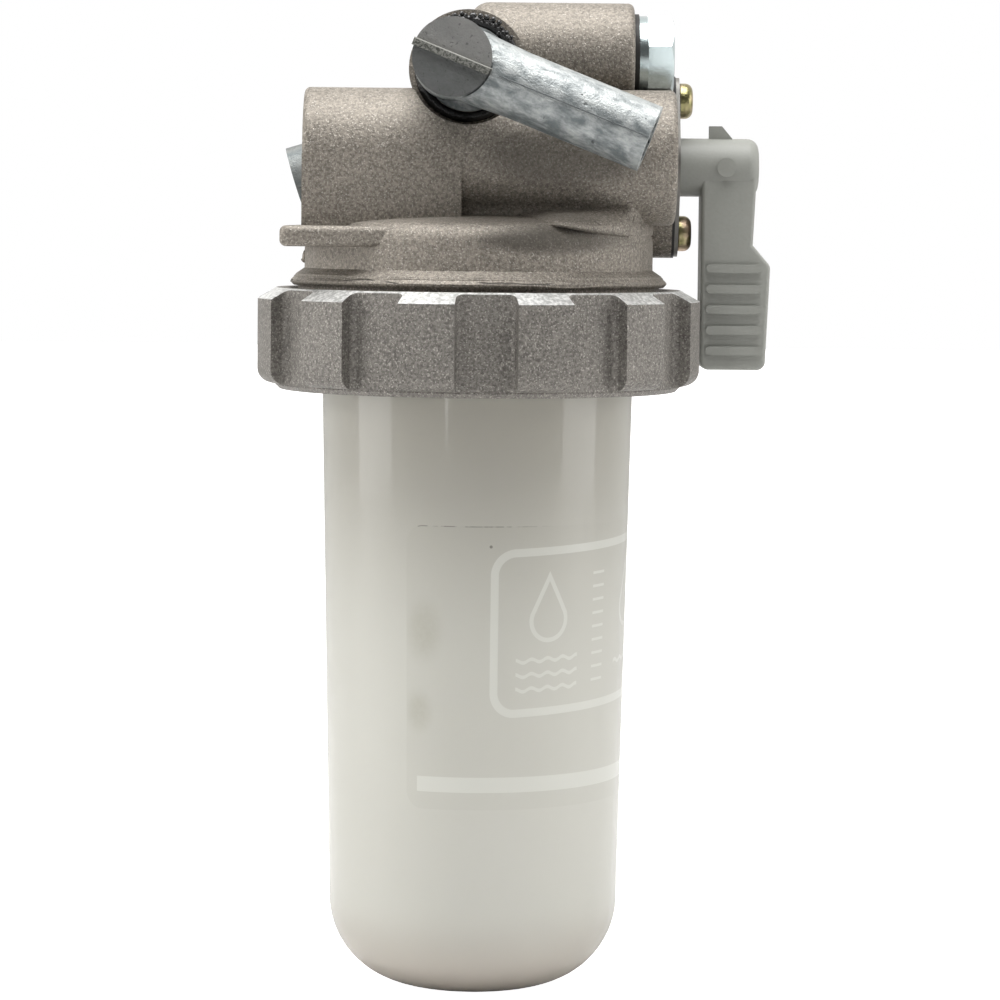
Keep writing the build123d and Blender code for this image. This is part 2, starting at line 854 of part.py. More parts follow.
def make_centre_tube():
    """Pressed-in tube that takes the cleaned fuel up to the outlet."""
    with BuildPart() as tube:
        with BuildSketch(Plane.XY.offset(tube_bottom)):
            Circle(tube_radius)
            Circle(tube_radius - tube_wall, mode=Mode.SUBTRACT)
        extrude(amount=roof_bottom - tube_bottom)
    return tube


def make_element_cap(bottom, opening, lip_side):
    """End cap of the filter element: a disc with a turned lip round the pleats."""
    lip_plane = Plane.XY.offset(bottom if lip_side > 0 else bottom + cap_thickness)
    with BuildPart() as cap:
        with BuildSketch(Plane.XY.offset(bottom)):
            Circle(element_radius)
            if opening:
                Circle(opening, mode=Mode.SUBTRACT)
        extrude(amount=cap_thickness)
        with BuildSketch(lip_plane):
            Circle(element_radius)
            Circle(element_radius - cap_wall, mode=Mode.SUBTRACT)
        extrude(amount=lip_side * (cap_thickness + cap_lip))
    return cap


def make_filter_media():
    """Pleated paper: a closed zigzag ribbon between the core and the caps' lips."""
    outer = element_radius - cap_wall - seat_gap
    inner = element_core_radius + seat_gap
    step = 360 / pleat_count

    def zigzag(outer_radius, inner_radius):
        points = []
        for index in range(pleat_count):
            crest = radians(index * step)
            root = radians((index + 0.5) * step)
            points.append((outer_radius * cos(crest), outer_radius * sin(crest)))
            points.append((inner_radius * cos(root), inner_radius * sin(root)))
        return points

    with BuildPart() as media:
        with BuildSketch(Plane.XY.offset(element_bottom + cap_thickness)):
            Polygon(*zigzag(outer, inner + pleat_thickness), align=None)
            Polygon(*zigzag(outer - pleat_thickness * 2, inner), align=None, mode=Mode.SUBTRACT)
        extrude(amount=element_top - element_bottom - 2 * cap_thickness)
    return media


def make_element_core():
    """Inner support tube of the element with rows of windows."""
    height = element_top - element_bottom - 2 * cap_thickness
    row_pitch = height / core_window_rows
    with BuildPart() as core:
        with BuildSketch(Plane.XY.offset(element_bottom + cap_thickness)):
            Circle(element_core_radius)
            Circle(element_core_radius - element_core_wall, mode=Mode.SUBTRACT)
        extrude(amount=height)
        for row in range(core_window_rows):
            level = element_bottom + cap_thickness + (row + 0.5) * row_pitch
            with Locations((0, 0, level)):
                with PolarLocations(element_core_radius, core_window_columns):
                    Box(
                        4 * element_core_wall,
                        core_window_width,
                        core_window_height,
                        mode=Mode.SUBTRACT,
                    )
    return core


def make_element_seal():
    """Rubber grommet of the top cap, gripping the centre tube."""
    inner = tube_radius + press_gap
    outer = inner + 2 * element_seal_section
    with BuildPart() as seal:
        with BuildSketch(Plane.XY.offset(element_top - cap_thickness)):
            Circle(outer)
            Circle(inner, mode=Mode.SUBTRACT)
        extrude(amount=cap_thickness)
    return seal


def float_rest_height():
    """Height at which either lower corner of the float first meets the cup's round floor."""
    floor_flat = cup_foot_radius - cup_bottom_round
    inner_round = cup_bottom_round - cup_wall

    def floor_height(radius):
        return cup_bottom_round - (inner_round**2 - max(0, radius - floor_flat) ** 2) ** 0.5

    inner_corner = floor_height(float_outer_radius - float_chamfer)
    outer_corner = floor_height(float_outer_radius) - float_chamfer
    return max(inner_corner, outer_corner) + turn_gap


def make_float_ring():
    """Float that rides on the water in the cup."""
    bottom = float_rest_height()
    with BuildPart() as float_ring:
        with BuildSketch(Plane.XY.offset(bottom)):
            Circle(float_outer_radius)
            Circle(float_inner_radius, mode=Mode.SUBTRACT)
        extrude(amount=float_height)
        lower = float_ring.edges().group_by(Axis.Z)[0].sort_by(SortBy.LENGTH)[-1]
        chamfer(lower, float_chamfer)
    return float_ring


seal_opening = tube_radius + 2 * element_seal_section + 2 * press_gap

pieces = {
    "head_casting": make_head(),
    "ring_nut": make_ring_nut(),
    "cup": make_cup(),
    "cup_gasket": make_cup_gasket(),
    "inlet_elbow": make_elbow(inlet_plane, inlet_lean),
    "inlet_sealant": make_sealant(inlet_plane),
    "outlet_elbow": make_elbow(outlet_plane, outlet_lean),
    "outlet_sealant": make_sealant(outlet_plane),
    "gallery_plug": make_plug(),
    "plug_washer": make_plug_washer(),
    "cock_gasket": make_cover_layer(cock_face, plate_gasket_thickness, 0),
    "retaining_plate": make_cover_layer(plate_left, plate_thickness, plate_inset),
    "plate_screws": make_plate_screws(),
    "lever": make_lever(),
    "cock_spool": make_spool(),
    "spool_seals": make_spool_seals(),
    "centre_tube": make_centre_tube(),
    "element_top_cap": make_element_cap(element_top - cap_thickness, seal_opening, -1),
    "element_bottom_cap": make_element_cap(element_bottom, 0, 1),
    "filter_media": make_filter_media(),
    "element_core": make_element_core(),
    "element_seal": make_element_seal(),
    "float_ring": make_float_ring(),
}

for name, piece in pieces.items():
    piece.part.label = name
    export_step(piece.part, f"parts/{name}.step")
    print(f"{name}: {piece.part.volume:.0f} mm3")
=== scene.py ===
# %% [markdown]
# # Dressing a fuel water separator
# The CAD model already has every solid in its true place and size. This lesson
# keeps those solids, gives each one a finish that is worked out by nodes, and adds
# the fine things that a casting has and a plain solid lacks: screw threads, the
# flash line left by the die, lumps of sealing compound.

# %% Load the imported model
from math import cos, degrees, pi, radians, sin

import bpy
from mathutils import Matrix, Vector


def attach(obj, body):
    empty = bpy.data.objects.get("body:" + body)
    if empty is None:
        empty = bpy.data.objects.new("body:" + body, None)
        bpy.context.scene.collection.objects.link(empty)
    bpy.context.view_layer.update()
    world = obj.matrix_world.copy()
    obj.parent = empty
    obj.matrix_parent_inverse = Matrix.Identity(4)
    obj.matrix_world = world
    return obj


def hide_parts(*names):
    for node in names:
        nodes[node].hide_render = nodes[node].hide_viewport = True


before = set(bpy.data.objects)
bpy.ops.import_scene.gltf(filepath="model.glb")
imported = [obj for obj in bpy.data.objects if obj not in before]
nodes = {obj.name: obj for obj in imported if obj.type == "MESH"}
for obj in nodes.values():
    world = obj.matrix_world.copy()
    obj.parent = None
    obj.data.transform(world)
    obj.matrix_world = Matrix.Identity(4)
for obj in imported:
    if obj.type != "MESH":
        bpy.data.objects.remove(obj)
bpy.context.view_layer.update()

# %% [markdown]
# ## Camera
# The photograph was taken with a long lens from about the height of the ring nut,
# so upright lines stay nearly upright. A camera can be placed by its pitch, yaw and
# roll, or with a Track To constraint. Here its own axes are written as a matrix,
# because a small roll is part of the picture.

# %% Place the camera
camera_place = Vector((-0.00138, -0.79864, 0.17475))
pitch, yaw, roll = radians(2.961), radians(0.471), radians(0.567)
lens_mm = 125.76
frame_shift = -0.1

ahead = Vector((sin(yaw) * cos(pitch), cos(yaw) * cos(pitch), -sin(pitch)))
sideways = Vector((cos(yaw), -sin(yaw), 0))
upright = sideways.cross(ahead)
right = sideways * cos(roll) + upright * sin(roll)
up = upright * cos(roll) - sideways * sin(roll)

camera_data = bpy.data.cameras.new("camera")
camera_data.lens = lens_mm
camera_data.shift_y = frame_shift
camera_data.clip_start, camera_data.clip_end = 0.01, 30
camera = bpy.data.objects.new("camera", camera_data)
bpy.context.scene.collection.objects.link(camera)
axes = Matrix((right, up, -ahead)).transposed()
camera.matrix_world = Matrix.Translation(camera_place) @ axes.to_4x4()
bpy.context.scene.camera = camera
bpy.context.scene.view_settings.view_transform = "Standard"
print("camera pitch", round(degrees(pitch), 2), "lens", lens_mm)

# %% [markdown]
# ## Working by hand in code
# Every new piece starts as a primitive and is shaped with the same operators that
# the menus call. These helpers choose one piece, enter and leave edit mode, pick
# vertices by where they are, and apply a modifier.

# %% Helpers for modelling
def choose(piece):
    """Selects one piece alone and makes it the active one."""
    bpy.ops.object.select_all(action="DESELECT")
    piece.select_set(True)
    bpy.context.view_layer.objects.active = piece


def add_primitive(kind, name, **settings):
    """Adds one mesh primitive and names it."""
    bpy.ops.object.select_all(action="DESELECT")
    getattr(bpy.ops.mesh, f"primitive_{kind}_add")(**settings)
    piece = bpy.context.active_object
    piece.name = piece.data.name = name
    bpy.ops.object.transform_apply(location=True, rotation=True, scale=True)
    return piece


def edit(piece, mode="VERT"):
    """Enters edit mode on one piece with nothing selected."""
    choose(piece)
    bpy.ops.object.mode_set(mode="EDIT")
    bpy.ops.mesh.select_mode(type=mode)
    bpy.ops.mesh.select_all(action="DESELECT")


def pick(piece, test):
    """Selects the vertices whose place passes the test, in edit mode's vertex mode."""
    bpy.ops.object.mode_set(mode="OBJECT")
    for vertex in piece.data.vertices:
        vertex.select = test(vertex.co)
    bpy.ops.object.mode_set(mode="EDIT")


def leave_edit():
    """Goes back to object mode."""
    bpy.ops.object.mode_set(mode="OBJECT")


def apply_modifier(piece, kind, **settings):
    """Adds one modifier, sets it and applies it."""
    choose(piece)
    modifier = piece.modifiers.new(kind.title(), kind)
    for key, value in settings.items():
        setattr(modifier, key, value)
    bpy.ops.object.modifier_apply(modifier=modifier.name)


def set_smooth(piece, angle=35):
    """Shades a piece smooth, but for edges sharper than the angle in degrees."""
    choose(piece)
    bpy.ops.object.shade_smooth_by_angle(angle=radians(angle))


# %% [markdown]
# ## Screw threads
# The ring nut runs on the head's skirt with a coarse thread. In the CAD solids the
# two are plain cylinders with room between them. A thread is one small profile
# carried up a helix: the Screw modifier does that, and starting the nut's profile
# half a pitch higher puts its ridges in the skirt's grooves.

# %% Cut the threads
PITCH = 0.003
SKIRT_RADIUS = 0.0412
NUT_BORE = 0.0424
RIDGE_HEIGHT = 0.00095
RIDGE_ROOT = 0.0017
RIDGE_CREST = 0.0006
ROOT_OVERLAP = 0.00005
THREAD_START = 0.1485
THREAD_TURNS = 3
TURN_STEPS = 96


def make_thread(name, root, crest, start):
    """A right-hand helical ridge from the root radius to the crest radius."""
    thread = add_primitive("plane", name, size=1)
    corners = [
        (root, start - RIDGE_ROOT / 2),
        (root, start + RIDGE_ROOT / 2),
        (crest, start + RIDGE_CREST / 2),
        (crest, start - RIDGE_CREST / 2),
    ]
    # The plane's corners in walking order: up its left side, then down its right side.
    order = sorted(
        thread.data.vertices,
        key=lambda v: (v.co.x, v.co.y if v.co.x < 0 else -v.co.y),
    )
    for vertex, (radius, height) in zip(order, corners):
        vertex.co = (radius, 0, height)
    edit(thread, "FACE")
    bpy.ops.mesh.select_all(action="SELECT")
    bpy.ops.mesh.delete(type="ONLY_FACE")
    leave_edit()
    apply_modifier(
        thread, "SCREW", axis="Z", angle=2 * pi, screw_offset=PITCH, iterations=THREAD_TURNS,
        steps=TURN_STEPS, render_steps=TURN_STEPS, use_merge_vertices=False,
    )
    edit(thread, "EDGE")
    bpy.ops.mesh.select_non_manifold()
    bpy.ops.mesh.fill_holes(sides=4)
    bpy.ops.mesh.select_all(action="SELECT")
    bpy.ops.mesh.normals_make_consistent(inside=False)
    leave_edit()
    set_smooth(thread)
    return thread


skirt_thread = make_thread(
    "skirt_thread", SKIRT_RADIUS - ROOT_OVERLAP, SKIRT_RADIUS + RIDGE_HEIGHT, THREAD_START,
)
ring_thread = make_thread(
    "ring_thread", NUT_BORE + ROOT_OVERLAP, NUT_BORE - RIDGE_HEIGHT, THREAD_START - PITCH / 2,
)
for thread, body in ((skirt_thread, "head"), (ring_thread, "ring")):
    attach(thread, body)
print("thread faces:", len(skirt_thread.data.polygons), len(ring_thread.data.polygons))

# %% [markdown]
# ## Sealing compound
# Each elbow was pushed into its seat with a thick bead of black compound, and what
# did not fit came out round the collar in lumps. A torus gives the bead, random
# moves give the lumps, and many small balls, copied from one, are the crumbs on top.

# %% Seats of the elbows
def seat_frame(seat, outward, slope):
    """Turns a piece modelled at the origin into an elbow's seat: z out, x down the pipe."""
    out = Vector((0, outward, 0))
    run = Vector((-outward * cos(radians(slope)), 0, -sin(radians(slope))))
    across = out.cross(run)
    turned = Matrix((run, across, out)).transposed().to_4x4()
    return Matrix.Translation(Vector(seat)) @ turned


def settle(piece, place):
    """Carries the mesh itself to its place, so that its object stays unturned."""
    piece.data.transform(place)
    piece.data.update()


# Each place: the seat's middle, the way it faces along y, and the pipe's slope in degrees.
inlet_place = ((-0.0028, -0.012, 0.20845), -1, 21.8)
outlet_place = ((-0.0036, 0.031, 0.1968), 1, 17.0)
inlet_frame = seat_frame(*inlet_place)
outlet_frame = seat_frame(*outlet_place)
print("seats:", inlet_place[0], outlet_place[0])


# %% Crumbs of compound
CRUMB_COUNT, CRUMB_RISE = 44, 0.0013
# Where the crumbs start round the collar, and how far they spread, in degrees.
CRUMB_START, CRUMB_ARC = 58, 84
CRUMB_REACH, CRUMB_BAND = 0.0104, 0.0021
CRUMB_SIZE, CRUMB_GROWTH = 0.00034, 0.00036


def make_crumbs(name, seed):
    """Crumbs on an arc of the collar: steps of a prime, wrapped, scatter like chance."""
    first = add_primitive("ico_sphere", f"{name}_crumb", subdivisions=2, radius=1)
    crumbs = [first]
    while len(crumbs) < CRUMB_COUNT:
        crumb = first.copy()
        crumb.data = first.data.copy()
        bpy.context.scene.collection.objects.link(crumb)
        crumbs.append(crumb)
    for index, crumb in enumerate(crumbs):
        turn = radians(CRUMB_START + (index * 37 + seed * 11) % CRUMB_ARC)
        reach = CRUMB_REACH + CRUMB_BAND * ((index * 29 + seed) % 17) / 17
        size = CRUMB_SIZE + CRUMB_GROWTH * ((index * 13 + seed) % 7) / 7
        middle = Vector((reach * cos(turn), reach * sin(turn), CRUMB_RISE))
        settle(crumb, Matrix.Translation(middle) @ Matrix.Scale(size, 4))
    return crumbs


# %% Squeeze out the compound
COMPOUND_RADIUS, COMPOUND_THICKNESS, COMPOUND_RISE = 0.0109, 0.00118, 0.0006
LUMP_MOVE = 0.00022


def make_compound(name, place, seed):
    """A lumpy ring of compound with crumbs on one side."""
    bead = add_primitive("torus", name, major_radius=COMPOUND_RADIUS,
                         minor_radius=COMPOUND_THICKNESS, major_segments=120,
                         minor_segments=16, location=(0, 0, COMPOUND_RISE))
    edit(bead)
    bpy.ops.mesh.select_all(action="SELECT")
    bpy.ops.transform.vertex_random(offset=LUMP_MOVE, seed=seed)
    bpy.ops.mesh.vertices_smooth(factor=0.5, repeat=2)
    leave_edit()
    crumbs = make_crumbs(name, seed)
    choose(bead)
    for crumb in crumbs:
        crumb.select_set(True)
    bpy.ops.object.join()
    set_smooth(bead, 60)
    settle(bead, place)
    return bead


inlet_compound = make_compound("inlet_compound", inlet_frame, 3)
outlet_compound = make_compound("outlet_compound", outlet_frame, 8)
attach(inlet_compound, "head")
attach(outlet_compound, "head")
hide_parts("inlet_sealant")
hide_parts("outlet_sealant")
print("compound faces:", len(inlet_compound.data.polygons))

# %% [markdown]
# ## Traces of the die
# Where the halves of a die meet, a thin fin of metal is left. On an elbow it runs
# along the pipe in line with the rib. On the head it goes round the bead, and it
# wanders a little up and down because the die was worn. The bell's roof is slightly
# crowned, which lets the die's halves part: a flat cylinder gets its crown from
# rings that are inset and lifted one after the other. To the right the housing
# flows down over the bell's edge in one soft blend, laid as a sheet of sections.

# %% Parting ridges on the pipes
PIPE_RISE, PIPE_LENGTH, HOSE_SEAT_RADIUS = 0.020, 0.043, 0.0075
INLET_LEAN, OUTLET_LEAN = radians(4.8), 0
FIN_START, FIN_SHORTFALL = 0.0080, 0.0002
FIN_WIDTH, FIN_HEIGHT, FIN_BEVEL = 0.00032, 0.00026, 0.00006
ROOT_END, ROOT_STEP = 0.011, 0.00022


def make_ridge(name, place, lean):
    """A thin fin along the outer side of an elbow's pipe, a step higher on its thick root."""
    ridge = add_primitive("cube", name, size=1)
    length = PIPE_LENGTH - FIN_SHORTFALL - FIN_START
    for vertex in ridge.data.vertices:
        along, across, height = vertex.co
        vertex.co = (FIN_START + (along + 0.5) * length, across * FIN_WIDTH,
                     HOSE_SEAT_RADIUS + height * FIN_HEIGHT)
    edit(ridge)
    bpy.ops.mesh.select_all(action="SELECT")
    bpy.ops.mesh.subdivide(number_cuts=3)
    pick(ridge, lambda co: co.x < ROOT_END)
    bpy.ops.transform.translate(value=(0, 0, ROOT_STEP))
    leave_edit()
    apply_modifier(ridge, "BEVEL", width=FIN_BEVEL, segments=1)
    swing = Matrix.Rotation(-lean, 4, "Y")
    settle(ridge, place @ Matrix.Translation((0, 0, PIPE_RISE)) @ swing)
    return ridge


inlet_ridge = make_ridge("inlet_ridge", inlet_frame, INLET_LEAN)
outlet_ridge = make_ridge("outlet_ridge", outlet_frame, OUTLET_LEAN)
print("ridge faces:", len(inlet_ridge.data.polygons), len(outlet_ridge.data.polygons))

# %% Flash line round the bead
BEAD_RADIUS, BEAD_LEVEL = 0.0427, 0.1604
FLASH_RADIUS, FLASH_THICKNESS, FLASH_GRIP = 0.04272, 0.00022, 0.0012
STEP_RADIUS, STEP_THICKNESS, STEP_RISE = 0.04196, 0.00016, 0.0011
# Where the line wanders: the angle round the head, the rise, and how far the move spreads.
WANDERS = (
    (-100, 0.0005, 0.012), (-62, -0.0004, 0.010), (-20, 0.0004, 0.013),
    (45, -0.0004, 0.014), (110, 0.0004, 0.015), (170, -0.0004, 0.014),
)


def line_round_head(name, radius, thickness, level):
    """A thin ring round the head at one level."""
    return add_primitive("torus", name, major_radius=radius, minor_radius=thickness,
                         major_segments=240, minor_segments=8, location=(0, 0, level))


flash = line_round_head("flash_line", FLASH_RADIUS, FLASH_THICKNESS, BEAD_LEVEL)
edit(flash)
for angle, rise, spread in WANDERS:
    turn = radians(angle)
    here = Vector((BEAD_RADIUS * cos(turn), BEAD_RADIUS * sin(turn), BEAD_LEVEL))
    pick(flash, lambda co: (co - here).length < FLASH_GRIP)
    bpy.ops.transform.translate(value=(0, 0, rise), use_proportional_edit=True,
                                proportional_size=spread)
leave_edit()
set_smooth(flash)
bead_step = line_round_head("bead_step", STEP_RADIUS, STEP_THICKNESS, BEAD_LEVEL + STEP_RISE)
set_smooth(bead_step)
heights = [vertex.co.z for vertex in flash.data.vertices]
print("flash line from", round(min(heights), 5), "to", round(max(heights), 5))

# %% Crown on the bell
DOME_RADIUS, DOME_FOOT, DOME_SKIRT = 0.03576, 0.17398, 0.003
DOME_RISE, DOME_STEPS = 0.0025, 8
dome = add_primitive("cylinder", "bell_crown", vertices=144, radius=DOME_RADIUS,
                     depth=DOME_SKIRT, location=(0, 0, DOME_FOOT - DOME_SKIRT / 2))
edit(dome)
pick(dome, lambda co: co.z > DOME_FOOT - 0.0001)
bpy.ops.mesh.select_mode(type="FACE")
for step in range(1, DOME_STEPS):
    outer, inner = 1 - (step - 1) / DOME_STEPS, 1 - step / DOME_STEPS
    bpy.ops.mesh.inset(thickness=DOME_RADIUS / DOME_STEPS, depth=0)
    bpy.ops.transform.translate(value=(0, 0, DOME_RISE * (outer ** 2 - inner ** 2)))
leave_edit()
set_smooth(dome, 40)
print("crown top:", round(max(vertex.co.z for vertex in dome.data.vertices), 5))

# %% Sections of the blend between housing and bell
BELL_RADIUS = 0.0397
WEB_END, WEB_SWELL, SWELL_REACH = 0.0335, 0.0007, 0.0045
# The lip is tucked into the bell's side, the edge lies proud of it, and the crest is set
# back over the roof.
LIP_TUCK, LIP_DROP, LIP_PROUD = 0.0008, 0.0003, 0.00035
EDGE_PROUD, EDGE_LEVEL = 0.0004, 0.1734
CREST_SETBACK, CREST_LIFT, CREST_LEVEL = 0.0013, 0.0008, 0.1748
BLEND_THICKNESS = 0.0004
# Each row is one section: its place along x, how far down the bell it reaches, the y of
# the bell's side there (None: it follows the bell's round), and its foot (y, z) on the housing.
BLEND_ROWS = (
    (0.0080, 0.1738, -0.0215, (-0.0180, 0.1768)),
    (0.0120, 0.1738, -0.0260, (-0.0180, 0.1770)),
    (0.0155, 0.1738, -0.0335, (-0.0180, 0.1771)),
    (0.0180, 0.1737, None, (-0.0181, 0.1772)),
    (0.0210, 0.1731, None, (-0.0182, 0.1773)),
    (0.0240, 0.1725, None, (-0.0184, 0.1775)),
    (0.0270, 0.1721, None, (-0.0188, 0.1779)),
    (0.0300, 0.1718, None, (-0.0191, 0.1783)),
    (0.0325, 0.1716, None, (-0.0192, 0.1786)),
    (0.0345, 0.1715, None, (-0.0190, 0.1786)),
    (0.0362, 0.1715, None, (-0.0176, 0.1780)),
    (0.0380, 0.1716, None, (-0.0140, 0.1765)),
    (0.0393, 0.1718, None, (-0.0090, 0.1748)),
)


def blend_section(x, low, side, foot):
    """Six points (y, z) from the bell's side over its edge up to the housing."""
    if side is None:
        side = -(max(BELL_RADIUS ** 2 - x ** 2, 0) ** 0.5)
    swell = WEB_SWELL * max(0, 1 - abs(x - WEB_END) / SWELL_REACH)
    crest = (side + CREST_SETBACK - swell, max(low + CREST_LIFT, CREST_LEVEL))
    middle = (crest[0] * 0.5 + foot[0] * 0.5 - swell, crest[1] * 0.62 + foot[1] * 0.38)
    return (
        (side + LIP_TUCK, low - LIP_DROP),
        (side - LIP_PROUD, low),
        (side - EDGE_PROUD, max(low, EDGE_LEVEL)),
        crest, middle, foot,
    )


# %% Lay the blend over them
blend = add_primitive("grid", "bell_blend", size=1,
                      x_subdivisions=len(BLEND_ROWS) - 1, y_subdivisions=5)
order = sorted(blend.data.vertices, key=lambda v: (round(v.co.x, 4), round(v.co.y, 4)))
points = [(row[0], *point) for row in BLEND_ROWS for point in blend_section(*row)]
for vertex, point in zip(order, points):
    vertex.co = point
edit(blend)
bpy.ops.mesh.select_all(action="SELECT")
bpy.ops.mesh.normals_make_consistent(inside=False)
leave_edit()
apply_modifier(blend, "SUBSURF", levels=2, render_levels=2)
apply_modifier(blend, "SOLIDIFY", thickness=BLEND_THICKNESS, offset=0)
set_smooth(blend, 50)
print("blend faces:", len(blend.data.polygons))

# %% Cast nub under the ledge
NUB_PLACE, NUB_RADIUS = (-0.0394, -0.0030, 0.1655), 0.0011
nub = add_primitive("ico_sphere", "cast_nub", subdivisions=3, radius=NUB_RADIUS,
                    location=NUB_PLACE)
edit(nub)
pick(nub, lambda co: co.z > NUB_PLACE[2])
bpy.ops.transform.resize(value=(0.7, 1, 1.8), center_override=NUB_PLACE)
leave_edit()
set_smooth(nub, 60)

# %% Fix the traces to the head
head_traces = (flash, bead_step, nub, dome, blend)
die_traces = (inlet_ridge, outlet_ridge, *head_traces)
for piece in die_traces:
    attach(piece, "head")
print("die traces:", [len(piece.data.polygons) for piece in die_traces])

# %% [markdown]
# ## A small language for finishes
# A material is a sum of noises, masks and colours. Written node by node it is hard
# to read, so one class wraps an output socket and lets it be added, multiplied and
# compared like a number, and another makes any node in one call. The last one is a
# whole finish: a surface shader with the noises and masks that drive it.

# %% Values that add and multiply
class Level:
    """A node's output, used in sums like a number."""

    def __init__(self, bench, socket):
        self.bench, self.socket = bench, socket

    def maths(self, operation, *terms):
        """A Math node on these terms."""
        return self.bench.node("ShaderNodeMath", {"operation": operation}, dict(enumerate(terms)))

    def __add__(self, other):
        return self.maths("ADD", self, other)

    def __radd__(self, other):
        return self.maths("ADD", other, self)

    def __sub__(self, other):
        return self.maths("SUBTRACT", self, other)

    def __rsub__(self, other):
        return self.maths("SUBTRACT", other, self)

    def __mul__(self, other):
        return self.maths("MULTIPLY", self, other)

    def __rmul__(self, other):
        return self.maths("MULTIPLY", other, self)

    def __truediv__(self, other):
        return self.maths("DIVIDE", self, other)

    def __pow__(self, other):
        return self.maths("POWER", self, other)

    def __abs__(self):
        return self.maths("ABSOLUTE", self)

    def most(self, other):
        """The greater of the two."""
        return self.maths("MAXIMUM", self, other)

    def least(self, other):
        """The smaller of the two."""
        return self.maths("MINIMUM", self, other)


# %% A bench where nodes are made
class Bench:
    """A node tree, and the calls that build in it."""

    def __init__(self, tree):
        self.tree = tree

    def node(self, kind, settings, values, output=0):
        """Makes a node, sets it, then fills or links its sockets."""
        made = self.tree.nodes.new(kind)
        for key, value in settings.items():
            setattr(made, key, value)
        for socket, value in values.items():
            self.feed(made.inputs[socket], value)
        return Level(self, made.outputs[output])

    def feed(self, socket, value):
        """Links a value to a socket, or sets it where it is a plain number or colour."""
        if isinstance(value, Level):
            self.tree.links.new(value.socket, socket)
        elif isinstance(value, tuple) and socket.type == "RGBA":
            socket.default_value = (*value, 1)
        else:
            socket.default_value = value


# %% A finish
def tint(red, green, blue):
    """A colour picked on a screen, turned into light values."""
    parts = (c / 255 for c in (red, green, blue))
    return tuple(c / 12.92 if c < 0.04045 else ((c + 0.055) / 1.055) ** 2.4 for c in parts)


class Finish(Bench):
    """One material: its surface shader, and the nodes that drive it."""

    def __init__(self, name, **constants):
        self.material = bpy.data.materials.new(name)
        self.material.use_nodes = True
        super().__init__(self.material.node_tree)
        self.shader = self.tree.nodes["Principled BSDF"]
        self.set(**constants)
        self.place = self.node("ShaderNodeTexCoord", {}, {}, "Object")

    def set(self, **drives):
        """Sets or drives the shader's sockets, with _ for each space in a name."""
        for socket, value in drives.items():
            self.feed(self.shader.inputs[socket.replace("_", " ")], value)

    def axes(self):
        """The three coordinates of the pattern, each as a value."""
        split = self.node("ShaderNodeSeparateXYZ", {}, {0: self.place}).socket.node
        return [Level(self, output) for output in split.outputs]

    def noise(self, scale, detail=2.0, rough=0.5, stretch=None, warp=0.0):
        """Cloud noise of so many lumps to the metre."""
        place = self.place
        if stretch:
            place = self.node("ShaderNodeMapping", {}, {"Vector": place, "Scale": stretch})
        return self.node(
            "ShaderNodeTexNoise", {},
            {"Vector": place, "Scale": scale, "Detail": detail, "Roughness": rough,
             "Distortion": warp},
        )

    def fade(self, value, start, end):
        """0 at start, 1 at end, smooth between."""
        return self.node(
            "ShaderNodeMapRange", {"interpolation_type": "SMOOTHSTEP"},
            {"Value": value, "From Min": start, "From Max": end},
        )

    def mix(self, amount, first, second):
        """The first colour, turned into the second by the amount."""
        return self.node("ShaderNodeMix", {"data_type": "RGBA"},
                         {0: amount, 6: first, 7: second}, 2)

    def bump(self, height, depth, strength=1.0):
        """Relief so many metres deep."""
        values = {"Height": height, "Distance": depth, "Strength": strength}
        return self.node("ShaderNodeBump", {}, values)


# %% Putting a finish on
def put_on(finish, *names):
    """Gives CAD nodes a finish."""
    for name in names:
        for slot in nodes[name].material_slots:
            slot.material = finish.material
    print(finish.material.name, "of", len(finish.tree.nodes), "nodes on", *names)


def coat(finish, *pieces):
    """Gives pieces that were made here a finish."""
    for piece in pieces:
        piece.data.materials.append(finish.material)
    print(finish.material.name, "on", *(piece.name for piece in pieces))


# %% [markdown]
# ## Cast alloy
# The head and the ring nut come from a die and are then blasted, which leaves a
# skin of tiny pits: half of them catch the light, half stay dark. One fine noise
# gives the grain, a sharper one its sparkle, painted into the colour as bright
# glints, and a broad one the patches. Where the metal met late, round the bead,
# thin dark laps wander up and down. A darker cloud of painted shade lies on the
# front of the housing and the bell.

# %% A cast skin, and an oval mask
GRAIN_RELIEF = 0.00016


def cast_skin(name, dark, light, rough):
    """Grained die casting. Returns the finish with its colour, roughness and height."""
    finish = Finish(name, Metallic=0.55)
    grain = finish.noise(1500, 3, 0.65)
    sparkle = finish.fade(finish.noise(2600, 1, 0.4), 0.56, 0.74)
    patches = finish.noise(38, 3, 0.6)
    tone = finish.fade(grain, 0.32, 0.68) * 0.72 + patches * 0.5 - 0.12
    colour = finish.mix(tone, dark, light)
    # The sparkle is painted into the colour as bright glints, on top of its real gloss and relief.
    colour = finish.mix(sparkle * 0.34, colour, tint(216, 211, 202))
    gloss = rough + grain * 0.2 - sparkle * 0.12
    height = grain + sparkle * 0.5
    return finish, colour, gloss, height


def oval(u, v, wide, tall):
    """0 in the middle of an oval, 1 at its rim, growing with the square of the way."""
    return (u / wide) ** 2 + (v / tall) ** 2


# %% The head's finish
LAP_LEVEL, LAP_SWAY, LAP_ZONE = BEAD_LEVEL - 0.0006, 0.0022, (0.0022, 0.0018)
FLATTEN = (1, 1, 0.1)

